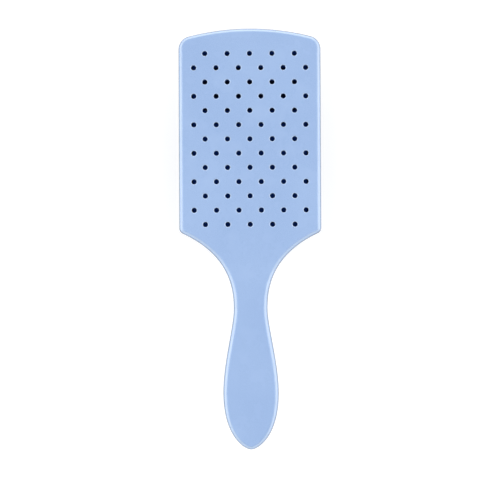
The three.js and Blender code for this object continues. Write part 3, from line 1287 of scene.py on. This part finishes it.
@dataclass
class PinField:
    """The pins: ball-tipped, in rows that share a thin runner behind the rubber."""

    root: float = 20.9 * MM
    head_radius: float = 1 * MM
    root_radius: float = 0.62 * MM
    neck_radius: float = 0.46 * MM
    ball_radius: float = 1.1 * MM
    sides: int = 10
    ball_steps: int = 6
    head_height: float = 0.6 * MM
    head_taper: float = 0.4 * MM
    pitch: float = 6.02 * MM  # about: a row's box settles how many pins it has
    runner_width: float = 2.1 * MM
    runner_thickness: float = 1.2 * MM
    runner_edge: float = 0.3 * MM
    runner_end_steps: int = 6

    def places(self, row_box: tuple[Vector, Vector]) -> list[Point]:
        """Gives a row's pins, from the row's box in the frame.

        Args:
            row_box: The row's lowest and highest corners.

        Returns:
            The pins' places.
        """
        low, high = row_box
        half = 0.5 * (high.x - low.x) - self.ball_radius
        count = round(2 * half / self.pitch) + 1
        y = 0.5 * (low.y + high.y)
        return [(-half + 2 * half * index / (count - 1), y) for index in range(count)]

    def pin(self) -> bpy.types.Object:
        """Models one pin, from its head behind the rubber down to its ball.

        Returns:
            The pin, over the origin.
        """
        start = round_outline(0.0, 0.0, self.head_radius, self.sides)
        work = Workpiece("pin", start, self.root)
        head_foot = self.root - self.head_height
        profile = [(self.head_radius, head_foot), (self.root_radius, head_foot - self.head_taper)]
        swell = math.acos(self.neck_radius / self.ball_radius)
        top = self.ball_radius * (1 + math.sin(swell))
        profile.append((self.neck_radius, top))
        for step in range(1, self.ball_steps):
            angle = swell - (swell + 0.5 * math.pi) * step / self.ball_steps
            profile.append((self.ball_radius * math.cos(angle), self.ball_radius * (1 + math.sin(angle))))
        radius, level = self.head_radius, self.root
        for next_radius, next_level in profile:
            work.pull(next_level - level)
            work.resize(next_radius / radius, Vector((0.0, 0.0, next_level)))
            radius, level = next_radius, next_level
        work.pull(-level)
        bpy.ops.mesh.merge(type="CENTER")
        return work.done()

    def runner(self, half_length: float, y: float) -> bpy.types.Object:
        """Models the strip that joins a row's heads.

        Args:
            half_length: From its middle to the outermost pin.
            y: Its place along the brush.

        Returns:
            The strip.
        """
        half_width = 0.5 * self.runner_width
        ends = arc((half_length, y), half_width, -0.5 * math.pi, 0.5 * math.pi, self.runner_end_steps)
        other = arc((-half_length, y), half_width, 0.5 * math.pi, 1.5 * math.pi, self.runner_end_steps)
        work = Workpiece("runner", [*ends, *other], self.root - 0.5 * self.runner_thickness)
        work.pull(self.runner_thickness)
        work.pick_edges(lambda end: end.z > self.root)
        work.round_off(self.runner_edge, 2)
        return work.done()

    def build(self, row_boxes: Sequence[tuple[Vector, Vector]]) -> list[bpy.types.Object]:
        """Models every row.

        Args:
            row_boxes: Each row's box in the frame.

        Returns:
            The rows.
        """
        pattern = self.pin()
        rows = []
        for number, row_box in enumerate(row_boxes, start=1):
            places = self.places(row_box)
            pins = copies(pattern, places)
            strip = self.runner(abs(places[0][0]), places[0][1])
            row = join(f"pins_row_{number:02d}", [strip, *pins])
            smooth(row, Hardness.SOFT)
            rows.append(row)
        bpy.data.objects.remove(pattern)
        return rows


@dataclass
class RubberPad:
    """The domed rubber pad, with its flange and the holes for the pins."""

    plan: BrushPlan
    flange_level: float
    flange_reach: float
    plateau: float
    pin_places: Sequence[Point]
    sheet: float = 1.5 * MM
    play: float = 0.3 * MM
    shoulder: float = 3.4 * MM
    crown: float = 0.5 * MM
    collar: float = 1.5 * MM
    boss_radius: float = 1.8 * MM
    boss_height: float = 0.35 * MM
    hole_radius: float = 0.95 * MM
    hole_flare: float = 0.2 * MM
    hole_sides: int = 12
    boss_edge: float = 0.4 * MM
    shoulder_steps: int = 8
    cuts_beside: int = 6
    cuts_along: int = 18

    def crown_at(self, x: float, y: float) -> float:
        """Gives how far the plateau bulges at a place.

        Args:
            x: The place across the brush.
            y: The place along it.

        Returns:
            How far down it comes below the plateau's edge.
        """
        outline = self.plan.window(-self.play - self.shoulder)
        half = max(point[0] for point in outline)
        low = min(point[1] for point in outline)
        high = max(point[1] for point in outline)
        along = (2 * y - low - high) / (high - low)
        return self.crown * max(0.0, 1 - (x / half) ** 2) * max(0.0, 1 - along**2)

    def boss(self) -> bpy.types.Object:
        """Models the low ring round one pin's hole, without the hole.

        Returns:
            The ring, over the origin.
        """
        level = self.plateau - self.crown + 0.5 * self.sheet
        start = round_outline(0.0, 0.0, self.boss_radius, self.hole_sides)
        work = Workpiece("boss", start, level)
        work.pull(-0.5 * self.sheet)
        work.round_in(Turn.OVER, self.boss_edge, -self.boss_height, 2)
        return work.done()

    def hole_tool(self) -> bpy.types.Object:
        """Models the tool that cuts one pin's hole through the rubber, flared at its outer end.

        Returns:
            The tool, over the origin.
        """
        level = self.plateau - self.crown - self.boss_height
        mouth = round_outline(0.0, 0.0, self.hole_radius + self.hole_flare, self.hole_sides)
        work = Workpiece("pin_hole", mouth, level - MM)
        work.pull(MM)
        work.narrow(self.hole_flare, 3 * self.hole_flare)
        work.pull(self.sheet + self.crown + self.boss_height + MM)
        return work.done()

    def build(self) -> bpy.types.Object:
        """Models the pad.

        Returns:
            The finished piece.
        """
        rim = self.plan.window(self.flange_reach)
        work = Workpiece("rubber_pad", rim, self.flange_level)
        work.narrow(self.flange_reach + self.play)
        work.pull(-self.collar)
        drop = self.flange_level - self.collar - self.plateau
        work.round_in(Turn.OVER, self.shoulder, -drop, self.shoulder_steps)
        half = self.plan.half_head
        for step in range(-self.cuts_beside, self.cuts_beside + 1):
            work.pick_faces_at(self.plateau)
            work.split(Vector((half * step / self.cuts_beside, 0.0, 0.0)), ACROSS)
        length = self.plan.top - self.plan.corner
        for step in range(1, self.cuts_along):
            work.pick_faces_at(self.plateau)
            work.split(Vector((0.0, self.plan.corner + length * step / self.cuts_along, 0.0)), ALONG)
        work.reshape(
            lambda point: point.z - self.crown_at(point.x, point.y)
            if abs(point.z - self.plateau) < TOUCH
            else point.z
        )
        work.face_down()
        pad = work.put_down()
        apply_modifier(pad, "SOLIDIFY", thickness=self.sheet, offset=-1.0, use_even_offset=True)
        carve(pad, repeated("bosses", self.boss(), self.pin_places), Carving.ADD)
        carve(pad, repeated("pin_holes", self.hole_tool(), self.pin_places))
        smooth(pad, Hardness.CRISP)
        return pad


# ---- The studio ----------------------------------------------------------------------------


@dataclass(frozen=True)
class Softbox:
    """A soft light: a white panel that faces the brush."""

    name: str
    place: tuple[float, float, float]
    size: tuple[float, float]
    power: float
    colour: tuple[float, float, float] = (1.0, 1.0, 1.0)

    def hang(self, target: Vector) -> None:
        """Hangs the panel and turns it to its target.

        Args:
            target: What it faces.
        """
        light = bpy.data.lights.new(self.name, "AREA")
        light.shape = "RECTANGLE"
        light.size, light.size_y = self.size
        light.energy = self.power
        light.color = self.colour
        panel = bpy.data.objects.new(self.name, light)
        bpy.context.scene.collection.objects.link(panel)
        panel.location = self.place
        panel.rotation_euler = (target - Vector(self.place)).to_track_quat("-Z", "Y").to_euler()
        panel.visible_camera = False


@dataclass(frozen=True)
class Studio:
    """The floor, the lights and the camera."""

    brush_share: float = 0.8438  # the brush's length over the view's height
    aim: tuple[float, float] = (-0.24 * MM, -6.5 * MM)  # the view's middle, from the brush's
    roll: float = math.radians(-0.27)
    lens: float = 120.0
    sensor: float = 36.0
    floor_size: float = 60.0
    tent_colour: tuple[float, float, float, float] = (0.975, 0.988, 1.0, 1.0)
    tent_panels: float = 2.15
    tent_gap: float = 0.75
    tent_roof: float = 0.14
    panel_edge: Span = (0.74, 0.90)  # how squarely a direction faces a side, from gap to panel
    roof_edge: Span = (0.38, 0.82)  # how far up a direction points, from panel to roof
    zenith_guard: float = 1e-4
    softboxes: tuple[Softbox, ...] = (
        Softbox("left_softbox", (-0.6, 0.0, 1.15), (0.7, 0.7), 3.5),
        Softbox("right_softbox", (0.6, 0.0, 1.15), (0.7, 0.7), 3.5),
    )

    def camera(self, low: Vector, high: Vector) -> bpy.types.Object:
        """Puts the camera straight above the back.

        Args:
            low: The brush's lowest corner.
            high: Its highest corner.

        Returns:
            The camera.
        """
        data = bpy.data.cameras.new("camera")
        data.lens, data.sensor_width = self.lens, self.sensor
        camera = bpy.data.objects.new("camera", data)
        bpy.context.scene.collection.objects.link(camera)
        view_height = (high.y - low.y) / self.brush_share
        distance = view_height * self.lens / self.sensor
        centre = 0.5 * (low + high)
        camera.location = (centre.x + self.aim[0], centre.y + self.aim[1], high.z + distance)
        camera.rotation_euler = (0.0, 0.0, self.roll)
        return camera

    def floor(self, level: float, paint: bpy.types.Material) -> bpy.types.Object:
        """Lays the floor under the pin tips.

        Args:
            level: Its height.
            paint: Its material.

        Returns:
            The floor.
        """
        let_go()
        bpy.ops.mesh.primitive_plane_add(size=self.floor_size)
        ground = bpy.context.object
        ground.name = "floor"
        for vertex in ground.data.vertices:
            vertex.co.z = level
        dress(ground, paint)
        ground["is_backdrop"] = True
        return ground

    def tent(self) -> None:
        """Puts a light tent round the brush: bright panels on its four sides, and a dim roof."""
        world = bpy.data.worlds.new("light_tent")
        bpy.context.scene.world = world
        world.use_nodes = True
        recipe = Recipe(world.node_tree)
        direction = recipe.node("ShaderNodeTexCoord", {}, {}).outputs["Generated"]
        across, along, up = (recipe.part(direction, axis) for axis in "XYZ")
        level = (1 + self.zenith_guard - up * up) ** 0.5
        square_on = abs(across).or_more(along) / level
        panels = recipe.ramp(square_on, *self.panel_edge)
        walls = self.tent_gap + (self.tent_panels - self.tent_gap) * panels
        roof = recipe.ramp(up, *self.roof_edge)
        background = world.node_tree.nodes["Background"]
        background.inputs["Color"].default_value = self.tent_colour
        recipe.feed(background.inputs["Strength"], walls + (self.tent_roof - walls) * roof)

    def build(self, low: Vector, high: Vector) -> None:
        """Sets the studio up.

        Args:
            low: The brush's lowest corner.
            high: Its highest corner.
        """
        self.floor(low.z, FloorPaint().material())
        self.tent()
        for softbox in self.softboxes:
            softbox.hang(0.5 * (low + high))
        scene = bpy.context.scene
        scene.camera = self.camera(low, high)
        scene.view_settings.view_transform = "Standard"
        scene.view_settings.look = "None"


# ---- The whole brush -----------------------------------------------------------------------


def report(piece: bpy.types.Object, body: str) -> None:
    """Logs a finished piece."""
    LOG.info("%s: %d faces, on body %s", piece.name, len(piece.data.polygons), body)


def hand_over(piece: bpy.types.Object, body: str, node: str) -> None:
    """Puts a piece on its body, in place of its CAD node.

    Args:
        piece: The piece.
        body: The body that it rides on.
        node: The CAD node that it stands for.
    """
    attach(piece, body)
    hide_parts(node)
    report(piece, body)


def main() -> None:
    """Builds the brush piece by piece, dresses it and sets the studio up."""
    logging.basicConfig(level=logging.INFO, format="%(name)s: %(message)s")
    back_low, back_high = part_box("back_shell")
    front_low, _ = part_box("front_shell")
    pad_low, pad_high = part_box("cushion")
    retainer_low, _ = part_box("cushion_retainer")
    joints = {joint["name"]: joint for joint in frame["joints"]}
    press = joints["pad_press"]
    flange_level = press["deforming_nodes"][0]["fixed_end_z_m"]
    bodies = frame["record"]["behaviour"]["bodies"]
    row_bodies = sorted((nodes[0], body) for body, nodes in bodies.items() if body.startswith("pins_"))

    plan = BrushPlan(back_high.x, back_low.y, back_high.y, back_low.z, back_high.z)
    shell_plastic = GlossyShell().material()

    back = VentedBack(plan).build()
    dress(back, shell_plastic)
    hand_over(back, "brush", "back_shell")

    front = FrontFrame(plan, flange_level - FrontFrame.lip, front_low.z).build()
    dress(front, shell_plastic)
    hand_over(front, "brush", "front_shell")

    field = PinField()
    row_boxes = [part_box(node) for node, _ in row_bodies]
    rows = [field.places(row_box) for row_box in row_boxes]
    nylon = PinNylon().material()
    for piece, (node, body) in zip(field.build(row_boxes), row_bodies):
        dress(piece, nylon)
        hand_over(piece, body, node)

    flange_reach = pad_high.x - (plan.half_head - plan.rim_width)
    pin_places = [place for row in rows for place in row]
    pad = RubberPad(plan, flange_level, flange_reach, pad_low.z, pin_places).build()
    dress(pad, MouldedRubber().material())
    hand_over(pad, "pad", "cushion")
    travel = press["range_m"][1]
    dome = flange_level - pad_low.z
    (dome - travel) / dome
    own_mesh(pad)

    retainer = frame["nodes"]["cushion_retainer"]
    dress(retainer, InnerPlastic().material())
    report(retainer, "brush")

    Studio().build(*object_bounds())


if __name__ == "__main__":
    main()
